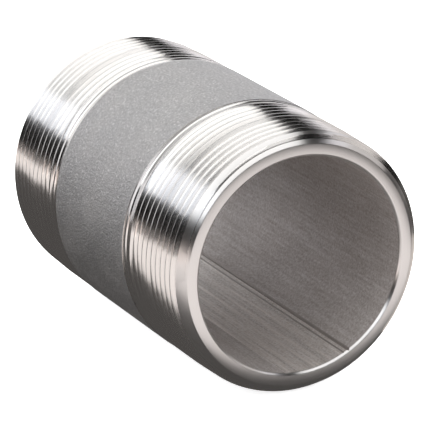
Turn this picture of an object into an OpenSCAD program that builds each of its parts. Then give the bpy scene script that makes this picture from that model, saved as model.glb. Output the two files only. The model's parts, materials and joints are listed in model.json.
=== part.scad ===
// Threaded pipe nipple, 2 in nominal pipe size, Schedule 80 welded stainless pipe.
// +X is the pipe axis, +Z is up, the origin is the middle of the bounding box.

/* [Pipe] */
// Overall length over both end faces
nipple_length = 88.9; // [70:0.1:300]
// Outside diameter of the pipe
pipe_od = 60.325; // [60.1:0.005:60.6]
// Wall thickness
pipe_wall_t = 5.54; // [3.91:0.01:8.74]

/* [Taper pipe thread] */
// Threads in 25.4 mm
threads_per_inch = 11.5; // [8, 11.5, 14]
// Pitch diameter at the end face
pitch_dia_end = 57.633; // [57.5:0.001:57.8]
// Distance from the end face at which the roots start to run out
full_thread_length = 19.22; // [15:0.01:22]
// Distance from the end face at which the thread has vanished
total_thread_length = 26.88; // [24:0.01:30]
// Depth by which the thread crests sit under the pipe surface next to the barrel
crest_skim = 0.1; // [0.05:0.01:0.2]

/* [End edges] */
// Radial width of the outer 45 degree chamfer, measured from the pipe surface
outer_chamfer = 2.76; // [2.4:0.01:3.2]
// Radial width of the inner 45 degree chamfer
inner_chamfer = 0.5; // [0.4:0.05:1.2]

/* [Welded seam] */
// Direction of the middle of the seam, from +Y towards +Z
seam_direction = -79; // [-180:1:180]
// Width of the seam band along the bore
seam_width = 15.8; // [8:0.1:20]

/* [Hidden] */

FULL_TURN = 360;
QUARTER_TURN = 90;
THREAD_ANGLE = 60;
// Taper pipe threads grow 1 in 16 on the diameter
TAPER_ON_RADIUS = 1 / 32;
// Share of the pitch that is left as thread height between the crest and root flats
HEIGHT_TO_PITCH = 0.8;
POINTS_PER_PITCH = 4;
STEPS_PER_TURN = 48;
// Radius by which the thread envelope stands clear of the pipe where nothing is cut
CLEAR = 1;
$fn = 96;

pipe_r = pipe_od / 2;
bore_r = pipe_r - pipe_wall_t;
half_length = nipple_length / 2;
pitch = 25.4 / threads_per_inch;
flank_slope = tan(THREAD_ANGLE);
sharp_height = pitch * flank_slope / 2;
thread_height = HEIGHT_TO_PITCH * pitch;
skim_r = pipe_r - crest_skim;
root_r_at_runout = pitch_cone_r(full_thread_length) - thread_height / 2;
barrel_half = half_length - total_thread_length;
seam_angle = seam_width / bore_r * FULL_TURN / (2 * PI);
seam_start = seam_direction + QUARTER_TURN - seam_angle / 2;

// Crests of one end: enough of them to reach from past the end face to the barrel at every angle
crest_count = ceil((total_thread_length + pitch) / pitch) + 3;
block_columns = crest_count * POINTS_PER_PITCH;
columns = 2 * block_columns + 2;

// Pitch cone radius at a distance from the end face
function pitch_cone_r(s) = pitch_dia_end / 2 + s * TAPER_ON_RADIUS;

// Crest radius: the full crest until it meets the skimmed pipe surface
function crest_r(s) = min(pitch_cone_r(s) + thread_height / 2, skim_r);

// Root radius: full depth, then a straight run-out up to the skimmed surface
function root_r(s) =
    s <= full_thread_length ? pitch_cone_r(s) - thread_height / 2
    : min(skim_r, root_r_at_runout + (skim_r - root_r_at_runout)
        * (s - full_thread_length) / (total_thread_length - full_thread_length));

// Half width of the thread ridge at radius r, at a distance s from the end face
function ridge_half(s, r) =
    min(pitch / 2, max(0, (pitch_cone_r(s) + sharp_height / 2 - r) / flank_slope));

// Offset along the axis and radius of corner k of the ridge whose crest is at s
function corner_offset(s, k) =
    k == 0 ? -ridge_half(s, root_r(s))
    : k == 1 ? -ridge_half(s, crest_r(s))
    : k == 2 ? ridge_half(s, crest_r(s))
    : ridge_half(s, root_r(s));
function corner_r(s, k) = k == 0 || k == 3 ? root_r(s) : crest_r(s);

// Point in a half plane at an angle about the axis
function turned(r, angle, z) = [r * cos(angle), r * sin(angle), z];

// Corner of the thread at the low end of z, held between the run-past end and the barrel
function low_point(i, angle) =
    let (crest_z = -half_length - 2 * pitch + pitch * (floor(i / POINTS_PER_PITCH) + angle / FULL_TURN))
    let (s = max(0, crest_z + half_length))
    let (z = crest_z + corner_offset(s, i % POINTS_PER_PITCH))
    z <= -half_length - pitch ? turned(root_r(0), angle, -half_length - pitch)
    : z >= -barrel_half ? turned(skim_r, angle, -barrel_half)
    : turned(corner_r(s, i % POINTS_PER_PITCH), angle, z);

// The same for the high end of z
function high_point(i, angle) =
    let (crest_z = barrel_half - 2 * pitch + pitch * (floor(i / POINTS_PER_PITCH) + angle / FULL_TURN))
    let (s = max(0, half_length - crest_z))
    let (z = crest_z + corner_offset(s, i % POINTS_PER_PITCH))
    z >= half_length + pitch ? turned(root_r(0), angle, half_length + pitch)
    : z <= barrel_half ? turned(skim_r, angle, barrel_half)
    : turned(corner_r(s, i % POINTS_PER_PITCH), angle, z);

function envelope_point(i, angle) =
    i < block_columns ? low_point(i, angle)
    : i == block_columns ? turned(pipe_r + CLEAR, angle, -barrel_half)
    : i == block_columns + 1 ? turned(pipe_r + CLEAR, angle, barrel_half)
    : high_point(i - block_columns - 2, angle);

// Number of the point in column i at step j; after a full turn the ridges have moved on by one pitch
function point_number(i, j) =
    j < STEPS_PER_TURN ? j * columns + i
    : i < block_columns ? min(i + POINTS_PER_PITCH, block_columns - 1)
    : i < block_columns + 2 ? i
    : min(i + POINTS_PER_PITCH, columns - 1);

// Solid with the outside shape of both threads, standing clear of the pipe along the barrel
module thread_envelope() {
    points = [
        for (j = [0 : STEPS_PER_TURN - 1])
            for (i = [0 : columns - 1])
                envelope_point(i, FULL_TURN * j / STEPS_PER_TURN)
    ];
    skin = [
        for (j = [0 : STEPS_PER_TURN - 1])
            for (i = [0 : columns - 2])
                let (a = point_number(i, j))
                let (b = point_number(i + 1, j))
                let (c = point_number(i + 1, j + 1))
                let (d = point_number(i, j + 1))
                for (t = [[a, b, c], [a, c, d]])
                    if (norm(points[t[0]] - points[t[1]]) > 0
                        && norm(points[t[1]] - points[t[2]]) > 0
                        && norm(points[t[2]] - points[t[0]]) > 0)
                        t
    ];
    low_cap = [for (j = [0 : STEPS_PER_TURN - 1]) point_number(0, j)];
    high_cap = [for (j = [STEPS_PER_TURN - 1 : -1 : 0]) point_number(columns - 1, j)];
    polyhedron(points = points, faces = concat(skin, [low_cap, high_cap]), convexity = 20);
}

// Plain pipe before threading, chamfered at both ends, over part of the turn
module blank(start, sweep) {
    rotate([0, 0, start])
        rotate_extrude(angle = sweep)
            polygon([
                [bore_r + inner_chamfer, -half_length],
                [pipe_r - outer_chamfer, -half_length],
                [pipe_r, -half_length + outer_chamfer],
                [pipe_r, half_length - outer_chamfer],
                [pipe_r - outer_chamfer, half_length],
                [bore_r + inner_chamfer, half_length],
                [bore_r, half_length - inner_chamfer],
                [bore_r, -half_length + inner_chamfer]
            ]);
}

// Wall of rolled stainless strip, open along the seam
module pipe_wall() {
    color("silver")
        rotate([0, 90, 0])
            intersection() {
                blank(seam_start + seam_angle, FULL_TURN - seam_angle);
                thread_envelope();
            }
}

// Weld metal that closes the wall through its full thickness
module seam_weld() {
    color("gainsboro")
        rotate([0, 90, 0])
            intersection() {
                blank(seam_start, seam_angle);
                thread_envelope();
            }
}

pipe_wall();
seam_weld();
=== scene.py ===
import json
import math

import bpy
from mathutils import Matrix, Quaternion, Vector


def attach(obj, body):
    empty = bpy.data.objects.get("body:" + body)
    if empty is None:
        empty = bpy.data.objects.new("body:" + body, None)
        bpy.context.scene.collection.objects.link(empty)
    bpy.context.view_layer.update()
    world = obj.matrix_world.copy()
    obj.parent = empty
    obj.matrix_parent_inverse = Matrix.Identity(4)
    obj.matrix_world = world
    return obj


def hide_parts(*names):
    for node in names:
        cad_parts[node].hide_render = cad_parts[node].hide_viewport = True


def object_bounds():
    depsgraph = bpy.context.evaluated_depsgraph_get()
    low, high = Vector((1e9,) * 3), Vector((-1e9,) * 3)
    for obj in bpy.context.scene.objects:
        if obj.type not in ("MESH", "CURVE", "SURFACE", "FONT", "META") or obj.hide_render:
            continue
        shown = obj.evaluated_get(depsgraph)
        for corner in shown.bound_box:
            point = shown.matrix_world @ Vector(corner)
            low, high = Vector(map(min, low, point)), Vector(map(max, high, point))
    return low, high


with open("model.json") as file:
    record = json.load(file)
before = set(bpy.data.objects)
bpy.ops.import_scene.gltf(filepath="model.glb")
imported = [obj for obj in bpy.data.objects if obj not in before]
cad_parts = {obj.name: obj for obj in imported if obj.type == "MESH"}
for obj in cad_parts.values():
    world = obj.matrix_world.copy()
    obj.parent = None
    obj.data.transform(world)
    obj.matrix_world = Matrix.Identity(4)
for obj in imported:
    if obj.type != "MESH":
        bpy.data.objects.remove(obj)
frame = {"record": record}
cad_low, cad_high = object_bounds()


# ---------------------------------------------------------------- pipe blank
# A length of welded stainless pipe, Schedule 80, sawn to length and turned down at
# both ends to a wide outer bevel and a narrow inner one. Outside and bore keep the
# dull pickled skin that the mill left; only the bevels and the end faces are cut.
MM = 0.001
mounts = {mount["name"]: mount for mount in frame["record"]["mounts"]}
half_length = (cad_high.x - cad_low.x) / 2
pipe_r = mounts["barrel"]["dims"]["r_mm"] * MM
wall = 5.54 * MM
bore_r = pipe_r - wall
outer_bevel = 2.76 * MM
inner_bevel = 0.5 * MM
edge_break = 0.12 * MM
same_point = 0.001 * MM
STEPS_ROUND = 144


def pick_points(piece, wanted):
    """Opens a piece in edit mode with just those points selected whose place passes the test."""
    bpy.ops.object.mode_set(mode="EDIT")
    bpy.ops.mesh.select_mode(type="VERT")
    bpy.ops.mesh.select_all(action="DESELECT")
    bpy.ops.object.mode_set(mode="OBJECT")
    for point in piece.data.vertices:
        point.select = wanted(point.co)
    bpy.ops.object.mode_set(mode="EDIT")


def turn_faces_out(piece):
    """Makes every face of a closed piece point outwards."""
    bpy.ops.object.mode_set(mode="EDIT")
    bpy.ops.mesh.select_all(action="SELECT")
    bpy.ops.mesh.normals_make_consistent(inside=False)
    bpy.ops.object.mode_set(mode="OBJECT")


def apply_modifier(piece, kind, **settings):
    """Adds a modifier with its settings and applies it at once."""
    bpy.ops.object.select_all(action="DESELECT")
    piece.select_set(True)
    bpy.context.view_layer.objects.active = piece
    modifier = piece.modifiers.new(kind.lower(), kind)
    for setting, value in settings.items():
        setattr(modifier, setting, value)
    bpy.ops.object.modifier_apply(modifier=modifier.name)


bpy.ops.object.select_all(action="DESELECT")
bpy.ops.mesh.primitive_plane_add(size=1, location=(0, 0, bore_r + wall / 2), rotation=(math.pi / 2, 0, 0))
pipe = bpy.context.object
pipe.name = "nipple_wall"
pipe.scale = (2 * half_length, wall, 1)
bpy.ops.object.transform_apply()
pick_points(pipe, lambda co: co.z > bore_r + wall / 2)
bpy.ops.mesh.bevel(offset=outer_bevel, affect="VERTICES")
pick_points(pipe, lambda co: co.z < bore_r + wall / 4)
bpy.ops.mesh.bevel(offset=inner_bevel, affect="VERTICES")
bpy.ops.mesh.select_all(action="SELECT")
bpy.ops.mesh.delete(type="ONLY_FACE")
bpy.ops.mesh.select_all(action="SELECT")
bpy.ops.mesh.bevel(offset=edge_break, segments=2, affect="VERTICES")
bpy.ops.object.mode_set(mode="OBJECT")
apply_modifier(
    pipe,
    "SCREW",
    axis="X",
    steps=STEPS_ROUND,
    render_steps=STEPS_ROUND,
    use_merge_vertices=True,
    merge_threshold=same_point,
)
turn_faces_out(pipe)


def linear(hex_colour):
    """Turns an sRGB hex colour into the linear colour that a shader takes."""
    colour = []
    for place in (1, 3, 5):
        level = int(hex_colour[place : place + 2], 16) / 255
        colour.append(level / 12.92 if level <= 0.04045 else ((level + 0.055) / 1.055) ** 2.4)
    return colour + [1]


def add_node(material, kind, inputs, **settings):
    """Adds a node; each input is a plain value or another node's output, which is linked."""
    node = material.node_tree.nodes.new("ShaderNode" + kind)
    for setting, value in settings.items():
        setattr(node, setting, value)
    for socket, value in inputs.items():
        if isinstance(value, bpy.types.NodeSocket):
            material.node_tree.links.new(value, node.inputs[socket])
        else:
            node.inputs[socket].default_value = value
    return node


def new_steel(name, roughness, **constants):
    """Starts a bare steel: all metal, with values that are the same all over set on its own sockets."""
    material = bpy.data.materials.new(name)
    material.use_nodes = True
    steel = material.node_tree.nodes["Principled BSDF"]
    steel.inputs["Metallic"].default_value = 1
    steel.inputs["Roughness"].default_value = roughness
    for socket, value in constants.items():
        steel.inputs[socket.replace("_", " ")].default_value = value
    place = add_node(material, "TexCoord", {})
    return material, steel, place.outputs["Object"]


def connect(material, source, steel, socket):
    """Links a node's output to a socket of the steel shader."""
    material.node_tree.links.new(source, steel.inputs[socket])


# Stainless steel, rolled, welded and pickled in acid: a dull grey with soft cloudy
# patches and a few bright flecks where the skin is rubbed. The etched grain of real
# steel is finer than half a millimetre and is drawn that coarse so that it shows.
pickled_outside, steel, place = new_steel("pickled_stainless_outside", 0.5)
grain = add_node(
    pickled_outside,
    "TexNoise",
    {"Vector": place, "Scale": 1 / (0.5 * MM), "Detail": 3, "Roughness": 0.75},
)
cloud = add_node(
    pickled_outside,
    "TexNoise",
    {"Vector": place, "Scale": 1 / (9 * MM), "Detail": 3, "Roughness": 0.55},
)
fleck = add_node(
    pickled_outside,
    "TexNoise",
    {"Vector": place, "Scale": 1 / (0.5 * MM), "Detail": 1, "Roughness": 0.5},
)
rubbed = add_node(
    pickled_outside,
    "MapRange",
    {"Value": fleck.outputs["Fac"], "From Min": 0.6, "From Max": 0.85, "To Min": 0, "To Max": 0.8},
)
skin = add_node(
    pickled_outside,
    "MixRGB",
    {"Fac": cloud.outputs["Fac"], "Color1": linear("#9A9899"), "Color2": linear("#FFF8F2")},
)
etched = add_node(
    pickled_outside,
    "MixRGB",
    {"Fac": grain.outputs["Fac"], "Color1": linear("#3A3A3A"), "Color2": linear("#FFFFFF")},
)
tone = add_node(
    pickled_outside,
    "MixRGB",
    {"Fac": 0.75, "Color1": skin.outputs["Color"], "Color2": etched.outputs["Color"]},
)
bright = add_node(
    pickled_outside,
    "MixRGB",
    {"Fac": rubbed.outputs["Result"], "Color1": tone.outputs["Color"], "Color2": linear("#F2F0EE")},
)
connect(pickled_outside, bright.outputs["Color"], steel, "Base Color")
matt = add_node(
    pickled_outside,
    "MapRange",
    {"Value": cloud.outputs["Fac"], "From Min": 0.3, "From Max": 0.7, "To Min": 0.47, "To Max": 0.56},
)
connect(pickled_outside, matt.outputs["Result"], steel, "Roughness")
relief = add_node(
    pickled_outside,
    "Bump",
    {"Height": grain.outputs["Fac"], "Strength": 1, "Distance": 0.26 * MM},
)
connect(pickled_outside, relief.outputs["Normal"], steel, "Normal")

# The bore has the same pickled skin, a little duller, with faint lines along the pipe
# from the rolls that formed the strip.
pickled_bore, steel, place = new_steel("pickled_stainless_bore", 0.72)
grain = add_node(
    pickled_bore,
    "TexNoise",
    {"Vector": place, "Scale": 1 / (0.5 * MM), "Detail": 2, "Roughness": 0.6},
)
drawn = add_node(pickled_bore, "Mapping", {"Vector": place, "Scale": (0.04, 1, 1)})
lines = add_node(
    pickled_bore,
    "TexNoise",
    {"Vector": drawn.outputs["Vector"], "Scale": 1 / (0.7 * MM), "Detail": 2, "Roughness": 0.6},
)
cloud = add_node(
    pickled_bore,
    "TexNoise",
    {"Vector": place, "Scale": 1 / (12 * MM), "Detail": 3, "Roughness": 0.5},
)
skin = add_node(
    pickled_bore,
    "MixRGB",
    {"Fac": cloud.outputs["Fac"], "Color1": linear("#C4BFBC"), "Color2": linear("#D5D0CD")},
)
texture = add_node(
    pickled_bore,
    "MixRGB",
    {"Fac": 0.35, "Color1": grain.outputs["Fac"], "Color2": lines.outputs["Fac"]},
)
tone = add_node(
    pickled_bore,
    "MixRGB",
    {"Fac": 1, "Color1": skin.outputs["Color"], "Color2": texture.outputs["Color"]},
    blend_type="OVERLAY",
)
connect(pickled_bore, tone.outputs["Color"], steel, "Base Color")
relief = add_node(
    pickled_bore,
    "Bump",
    {"Height": texture.outputs["Color"], "Strength": 1, "Distance": 0.09 * MM},
)
connect(pickled_bore, relief.outputs["Normal"], steel, "Normal")


def around_pipe(material, place):
    """Gives the direction round the pipe at each point, which is the way a lathe's marks run."""
    along = add_node(material, "SeparateXYZ", {"Vector": place})
    back = add_node(material, "Math", {0: along.outputs["Z"], 1: -1}, operation="MULTIPLY")
    crossways = add_node(material, "CombineXYZ", {"Y": back.outputs[0], "Z": along.outputs["Y"]})
    return add_node(material, "VectorMath", {0: crossways.outputs["Vector"]}, operation="NORMALIZE")


# Turned stainless steel on the bevels and end faces: the lathe leaves fine rings that
# stretch each highlight across the cut and keep it short along it, on clean steel.
turned_end, steel, place = new_steel(
    "turned_stainless_end",
    0.28,
    Anisotropic=0.85,
    Anisotropic_Rotation=0.25,
)
steel.inputs["Base Color"].default_value = linear("#DAD8D6")
connect(turned_end, around_pipe(turned_end, place).outputs["Vector"], steel, "Tangent")
for material in (pickled_outside, pickled_bore, turned_end):
    pipe.data.materials.append(material)
facet_sag = 0.05 * MM
for face in pipe.data.polygons:
    radius = math.hypot(face.center.y, face.center.z)
    face.material_index = 2
    if radius > pipe_r - facet_sag:
        face.material_index = 0
    elif radius < bore_r + same_point:
        face.material_index = 1

# ---------------------------------------------------------------- taper threads
# Both ends carry a 2 in taper pipe thread: 11.5 threads an inch, 60 degree form, 1 in
# 16 on the diameter, right-hand. A die cuts them into the blank, and its lead leaves
# the last turns shallow. The ring below is what the die takes away.
pitch = 25.4 / 11.5 * MM
pitch_r_at_end = 57.633 / 2 * MM
taper = 1 / 32
thread_height = 0.8 * pitch
full_thread = 19.22 * MM
total_thread = 26.88 * MM
crest_skim = 0.1 * MM
crest_flat = 0.16 * MM
thread_rounding = 0.06 * MM
barrel_half = half_length - total_thread
skim_r = pipe_r - crest_skim
flank_run = thread_height / math.tan(math.radians(60))
root_flat = pitch - crest_flat - 2 * flank_run
root_at_end = pitch_r_at_end - thread_height / 2
clear = 1 * MM
spare_turns = 4
ring_growth = 1.15
start = barrel_half - 2.3 * pitch

bpy.ops.object.select_all(action="DESELECT")
bpy.ops.mesh.primitive_plane_add(size=pitch, location=(start, 0, root_at_end))
die = bpy.context.object
die.name = "die"
bpy.ops.object.transform_apply()
bpy.ops.object.mode_set(mode="EDIT")
bpy.ops.mesh.select_all(action="SELECT")
bpy.ops.mesh.merge(type="CENTER")
for along, outwards in (
    (root_flat / 2, 0),
    (flank_run, thread_height),
    (crest_flat, 0),
    (flank_run, -thread_height),
    (root_flat / 2, 0),
):
    bpy.ops.mesh.extrude_vertices_move(TRANSFORM_OT_translate={"value": (along, 0, outwards)})
pick_points(die, lambda co: start + same_point < co.x < start + pitch - same_point)
bpy.ops.mesh.bevel(offset=thread_rounding, segments=2, affect="VERTICES")
bpy.ops.mesh.select_mode(type="EDGE")
bpy.ops.mesh.select_all(action="DESELECT")
bpy.ops.object.mode_set(mode="OBJECT")
for edge in die.data.edges:
    first, second = (die.data.vertices[end].co for end in edge.vertices)
    edge.select = (first - second).length > flank_run
bpy.ops.object.mode_set(mode="EDIT")
bpy.ops.mesh.subdivide(number_cuts=3)
bpy.ops.object.mode_set(mode="OBJECT")
apply_modifier(
    die,
    "ARRAY",
    count=math.ceil((total_thread + clear) / pitch) + spare_turns,
    use_relative_offset=False,
    use_constant_offset=True,
    constant_offset_displace=(pitch, 0, 0),
    use_merge_vertices=True,
    merge_threshold=same_point,
)
apply_modifier(
    die,
    "SCREW",
    axis="X",
    screw_offset=pitch,
    steps=STEPS_ROUND,
    render_steps=STEPS_ROUND,
    use_merge_vertices=True,
    merge_threshold=same_point,
)
bpy.ops.object.mode_set(mode="EDIT")
bpy.ops.mesh.select_all(action="SELECT")
bpy.ops.mesh.remove_doubles(threshold=same_point)
bpy.ops.object.mode_set(mode="OBJECT")
root_at_full = root_at_end + taper * full_thread
for point in die.data.vertices:
    x, y, z = point.co
    radius = math.hypot(y, z)
    depth = half_length - x
    run_out = min(max((depth - full_thread) / (total_thread - full_thread), 0), 1)
    shallowest = root_at_full + run_out * (skim_r - root_at_full) if run_out > 0 else 0
    cut_r = min(max(radius + taper * depth, shallowest), skim_r)
    point.co = (x, y * cut_r / radius, z * cut_r / radius)
bpy.ops.object.mode_set(mode="EDIT")
bpy.ops.mesh.select_mode(type="EDGE")
for plane_x, outward in ((half_length + clear, 1), (barrel_half, -1)):
    bpy.ops.mesh.select_all(action="SELECT")
    bpy.ops.mesh.bisect(
        plane_co=(plane_x, 0, 0),
        plane_no=(outward, 0, 0),
        clear_outer=True,
        threshold=4 * same_point,
    )
    bpy.ops.mesh.extrude_region_move()
    bpy.ops.transform.resize(value=(1, ring_growth, ring_growth), center_override=(0, 0, 0))
pick_points(die, lambda co: math.hypot(co.y, co.z) > pipe_r + clear)
bpy.ops.mesh.bridge_edge_loops()
turn_faces_out(die)

# Stainless steel cut by a die and not polished: bright flanks with fine tool lines
# round them, which smear a highlight up and down a flank but keep its ends sharp. Each
# turn leans a little its own way, so those ends step from one turn to the next.
cut_thread, steel, place = new_steel(
    "die_cut_stainless_thread",
    0.2,
    Anisotropic=0.9,
    Anisotropic_Rotation=0.25,
)
steel.inputs["Base Color"].default_value = linear("#E4E1DE")
connect(cut_thread, around_pipe(cut_thread, place).outputs["Vector"], steel, "Tangent")
along = add_node(cut_thread, "SeparateXYZ", {"Vector": place})
sideways = add_node(cut_thread, "CombineXYZ", {"Y": along.outputs["Y"], "Z": along.outputs["Z"]})
rim = add_node(cut_thread, "VectorMath", {0: sideways.outputs["Vector"]}, operation="NORMALIZE")
angle = add_node(cut_thread, "Math", {0: along.outputs["Y"], 1: along.outputs["Z"]}, operation="ARCTAN2")
turns_round = add_node(cut_thread, "Math", {0: angle.outputs[0], 1: 1 / math.tau}, operation="MULTIPLY")
turns_along = add_node(
    cut_thread,
    "Math",
    {0: along.outputs["X"], 1: 1 / pitch, 2: turns_round.outputs[0]},
    operation="MULTIPLY_ADD",
)
turn_number = add_node(cut_thread, "Math", {0: turns_along.outputs[0]}, operation="FLOOR")
apart = add_node(cut_thread, "CombineXYZ", {"X": turn_number.outputs[0]})
# Each lean lasts about 3 mm round the pipe. The step sets how far the noise moves on
# from one turn to the next, which is more than one lean, so that no two turns match.
lean_length = 3.1354 * MM
lean_step = 3.7
lean_round = pipe_r / lean_length / lean_step
spot = add_node(
    cut_thread,
    "VectorMath",
    {0: rim.outputs["Vector"], 1: (1, lean_round, lean_round), 2: apart.outputs["Vector"]},
    operation="MULTIPLY_ADD",
)
lean = add_node(
    cut_thread,
    "TexNoise",
    {"Vector": spot.outputs["Vector"], "Scale": lean_step, "Detail": 1, "Roughness": 0.5},
)
leaning = add_node(
    cut_thread,
    "Bump",
    {"Height": lean.outputs["Fac"], "Strength": 1, "Distance": 0.018 * MM},
)
connect(cut_thread, leaning.outputs["Normal"], steel, "Normal")
die.data.materials.append(cut_thread)
for turned_round in (0, math.pi):
    die.rotation_euler.z = turned_round
    bpy.context.view_layer.update()
    apply_modifier(
        pipe,
        "BOOLEAN",
        object=die,
        operation="DIFFERENCE",
        solver="MANIFOLD",
        material_mode="TRANSFER",
    )
bpy.data.objects.remove(die)

# ---------------------------------------------------------------- welded seam
# The strip's two edges are welded along the bottom of the pipe. Inside, the bead is
# rolled nearly flush: a pale streaky band along the bore, with a sharp undercut on
# its right-hand side and a shallow one on its left. Outside it is dressed away.
seam_centre = math.radians(-79)
seam_width = 15.8 * MM
seam_half = seam_width / bore_r / 2

# Rolled and pickled weld metal: the wall's grain over streaks that the inside roller
# left, somewhat under a millimetre wide and some centimetres long.
weld_bead, steel, place = new_steel("rolled_stainless_weld_bead", 0.64)
drawn = add_node(weld_bead, "Mapping", {"Vector": place, "Scale": (0.025, 1, 1)})
streaks = add_node(
    weld_bead,
    "TexNoise",
    {"Vector": drawn.outputs["Vector"], "Scale": 1 / (0.8 * MM), "Detail": 3, "Roughness": 0.65},
)
streak_tone = add_node(
    weld_bead,
    "MapRange",
    {"Value": streaks.outputs["Fac"], "From Min": 0.3, "From Max": 0.7, "To Min": 0, "To Max": 1},
)
grain = add_node(
    weld_bead,
    "TexNoise",
    {"Vector": place, "Scale": 1 / (0.45 * MM), "Detail": 2, "Roughness": 0.6},
)
skin = add_node(
    weld_bead,
    "MixRGB",
    {"Fac": streak_tone.outputs["Result"], "Color1": linear("#CCC7C3"), "Color2": linear("#F4EFEB")},
)
tone = add_node(
    weld_bead,
    "MixRGB",
    {"Fac": 0.95, "Color1": skin.outputs["Color"], "Color2": grain.outputs["Fac"]},
    blend_type="OVERLAY",
)
connect(weld_bead, tone.outputs["Color"], steel, "Base Color")
furrows = add_node(
    weld_bead,
    "Bump",
    {"Height": streaks.outputs["Fac"], "Strength": 1, "Distance": 0.025 * MM},
)
relief = add_node(
    weld_bead,
    "Bump",
    {
        "Height": grain.outputs["Fac"],
        "Strength": 1,
        "Distance": 0.06 * MM,
        "Normal": furrows.outputs["Normal"],
    },
)
connect(weld_bead, relief.outputs["Normal"], steel, "Normal")

# Stainless steel in the undercuts with painted shade: a darker, browner grey that draws
# a dark line along the bead where the grooves lie in shade.
undercut_tint, steel, place = new_steel("heat_tinted_stainless_undercut", 0.6)
steel.inputs["Base Color"].default_value = linear("#B6B0AC")

# Each undercut: its place round the bore from the seam's middle, half its width, its
# depth and its surface. A lighter roller mark runs inside the sharp one; both are lined with painted
# shade.
roller_mark = 1.25 * MM / bore_r
undercuts = (
    (seam_half, 0.4 * MM, 0.34 * MM, undercut_tint),
    (seam_half - roller_mark, 0.22 * MM, 0.14 * MM, undercut_tint),
    (-seam_half, 0.34 * MM, 0.12 * MM, weld_bead),
)
for off_centre, half_gap, depth, skin_inside in undercuts:
    round_pipe = seam_centre + off_centre
    bpy.ops.object.select_all(action="DESELECT")
    bpy.ops.mesh.primitive_cylinder_add(vertices=4, radius=1, depth=1, rotation=(0, math.pi / 2, 0))
    undercut = bpy.context.object
    undercut.name = "undercut"
    bpy.ops.object.transform_apply()
    undercut.scale = (2 * half_length + 2 * clear, depth, half_gap)
    undercut.rotation_euler.x = round_pipe
    undercut.location = (0, bore_r * math.cos(round_pipe), bore_r * math.sin(round_pipe))
    bpy.ops.object.transform_apply()
    undercut.data.materials.append(skin_inside)
    apply_modifier(
        pipe,
        "BOOLEAN",
        object=undercut,
        operation="DIFFERENCE",
        solver="MANIFOLD",
        material_mode="TRANSFER",
    )
    bpy.data.objects.remove(undercut)

bpy.ops.object.select_all(action="DESELECT")
bpy.ops.mesh.primitive_plane_add(size=1, location=(0, 0, pipe_r), rotation=(math.pi / 2, 0, 0))
wedge = bpy.context.object
wedge.name = "wedge"
wedge.scale = (2 * half_length + 2 * clear, 2 * pipe_r, 1)
bpy.ops.object.transform_apply()
bpy.ops.object.mode_set(mode="EDIT")
bpy.ops.mesh.select_all(action="SELECT")
bpy.ops.mesh.spin(steps=8, angle=2 * seam_half, center=(0, 0, 0), axis=(1, 0, 0))
bpy.ops.mesh.select_all(action="SELECT")
bpy.ops.mesh.remove_doubles(threshold=same_point)
turn_faces_out(wedge)
wedge.rotation_euler.x = seam_centre + seam_half - math.pi / 2
bpy.ops.object.transform_apply()
seam = pipe.copy()
seam.data = pipe.data.copy()
seam.name = "nipple_seam"
bpy.context.collection.objects.link(seam)
for piece, kept in ((pipe, "DIFFERENCE"), (seam, "INTERSECT")):
    apply_modifier(piece, "BOOLEAN", object=wedge, operation=kept, solver="MANIFOLD")
    bpy.ops.object.shade_smooth_by_angle(angle=math.radians(30))
bpy.data.objects.remove(wedge)
for slot in seam.material_slots:
    if slot.material == pickled_bore:
        slot.material = weld_bead

for piece, node in ((pipe, "pipe_wall"), (seam, "seam_weld")):
    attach(piece, "root")
    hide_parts(node)

# ---------------------------------------------------------------- table and lights
# The nipple lies on a wide table of opal acrylic lit from below, which stays white
# and hardly takes a shadow. The steel doesn't mirror it: cards beside the nipple do.
bpy.ops.object.select_all(action="DESELECT")
bpy.ops.mesh.primitive_plane_add(size=6, location=(0, 0, -pipe_r))
table = bpy.context.object
table.name = "table"
opal = bpy.data.materials.new("opal_acrylic")
opal.use_nodes = True
acrylic = opal.node_tree.nodes["Principled BSDF"]
acrylic.inputs["Base Color"].default_value = linear("#F4F4F4")
acrylic.inputs["Roughness"].default_value = 0.6
acrylic.inputs["Emission Color"].default_value = linear("#FFFFFF")
acrylic.inputs["Emission Strength"].default_value = 0.75
table.data.materials.append(opal)
table.visible_glossy = False
table.visible_shadow = False

world = bpy.data.worlds.new("plain_white")
bpy.context.scene.world = world
world.use_nodes = True
world.node_tree.nodes["Background"].inputs["Color"].default_value = linear("#FFFFFF")
world.cycles_visibility.glossy = False


def bearing(azimuth, elevation):
    """Gives the direction from the nipple at a compass angle from +X and a height in degrees."""
    turn = math.radians(azimuth)
    lift = math.radians(elevation)
    return Vector((math.cos(turn) * math.cos(lift), math.sin(turn) * math.cos(lift), math.sin(lift)))


# Each softbox: its name, where it hangs, the way it faces, its turn about that way,
# width and height in metres, brightness (1 is the white of the table) and colour.
softbox_distance = 2
down = Vector((0, 0, -1))
upwards = Vector((0, 0, 1))


def facing(azimuth, elevation, wide, high):
    """Places a softbox two metres off, facing the nipple, to cover so many degrees of its view."""
    toward = bearing(azimuth, elevation)
    width = 2 * softbox_distance * math.tan(math.radians(wide / 2))
    height = 2 * softbox_distance * math.tan(math.radians(high / 2))
    return toward * softbox_distance, -toward, width, height


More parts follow.
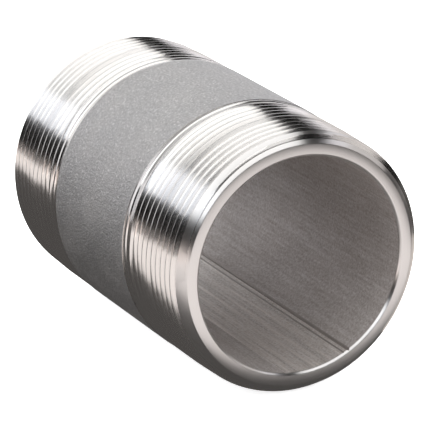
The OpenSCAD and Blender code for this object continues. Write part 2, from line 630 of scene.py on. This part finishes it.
softboxes = (
    ("overhead", (Vector((0.811, 0.021, 2)), down, 4.4, 2.15), 10.4, 1.55, "#FFFFFF"),
    ("overhead_left", (Vector((1.31, -2.709, 2)), down, 4.4, 3.4), 10.4, 1.65, "#FDFEFF"),
    ("below_camera_box", facing(-30.5, 20.7, 34, 15.5), -21, 1.2, "#F0F5FF"),
    ("side_strip", facing(75, 21, 44, 22), 0, 0.88, "#FFFAF8"),
    ("side_strip_high", facing(80, 38, 40, 12), 0, 1.2, "#FCFAFF"),
    ("wall_right", facing(108, 8, 26, 30), 0, 0.22, "#FFF9F6"),
    ("wall_behind_right", facing(150, 8, 56, 36), 0, 1.2, "#FCFBFF"),
    ("wall_behind_left", facing(-152, 12, 58, 28), 0, 1.18, "#FCFBFF"),
    ("wall_behind_high", facing(180, 42, 80, 28), 0, 0.35, "#FFFFFF"),
    ("wall_left", facing(-78, -1, 50, 9), 0, 1.15, "#FFF0EA"),
    ("card_front", (Vector((0.1925, -0.175, -pipe_r)), upwards, 0.235, 0.55), 0, 1.05, "#FFF8F6"),
    ("card_right", (Vector((-0.02, 0.082, -pipe_r)), upwards, 0.14, 0.094), 0, 0.8, "#FFF6EE"),
    ("card_under", (Vector((0, 0, -pipe_r - 2 * MM)), upwards, 3, 3), 0, 0.09, "#FFF9F6"),
)
for name, (location, aim, width, height), roll, brightness, colour in softboxes:
    light = bpy.data.lights.new(name, "AREA")
    light.shape = "RECTANGLE"
    light.size = width
    light.size_y = height
    light.energy = math.pi * width * height * brightness
    light.color = linear(colour)[:3]
    box = bpy.data.objects.new(name, light)
    bpy.context.collection.objects.link(box)
    box.location = location
    box.rotation_mode = "QUATERNION"
    box.rotation_quaternion = aim.to_track_quat("-Z", "Y") @ Quaternion((0, 0, 1), math.radians(roll))
    box.visible_camera = False

# ---------------------------------------------------------------- camera
# A long lens looks down at the front end from its left, so that the barrel, both
# threads, the end face and the seam inside the bore all show. Distances are in metres.
out = bearing(-26.8, 18.6)
right = Vector((-out.y, out.x, 0)).normalized()
up = out.cross(right)
distance = 0.7623
aside = 1.41 * MM
below = 1.66 * MM
camera_data = bpy.data.cameras.new("camera")
camera = bpy.data.objects.new("camera", camera_data)
bpy.context.collection.objects.link(camera)
camera_data.sensor_width = 36
camera_data.lens = 280.8
camera.location = out * distance + right * aside - up * below
camera.rotation_mode = "QUATERNION"
camera.rotation_quaternion = (-out).to_track_quat("-Z", "Y")
bpy.context.scene.camera = camera
bpy.context.scene.view_settings.view_transform = "Standard"
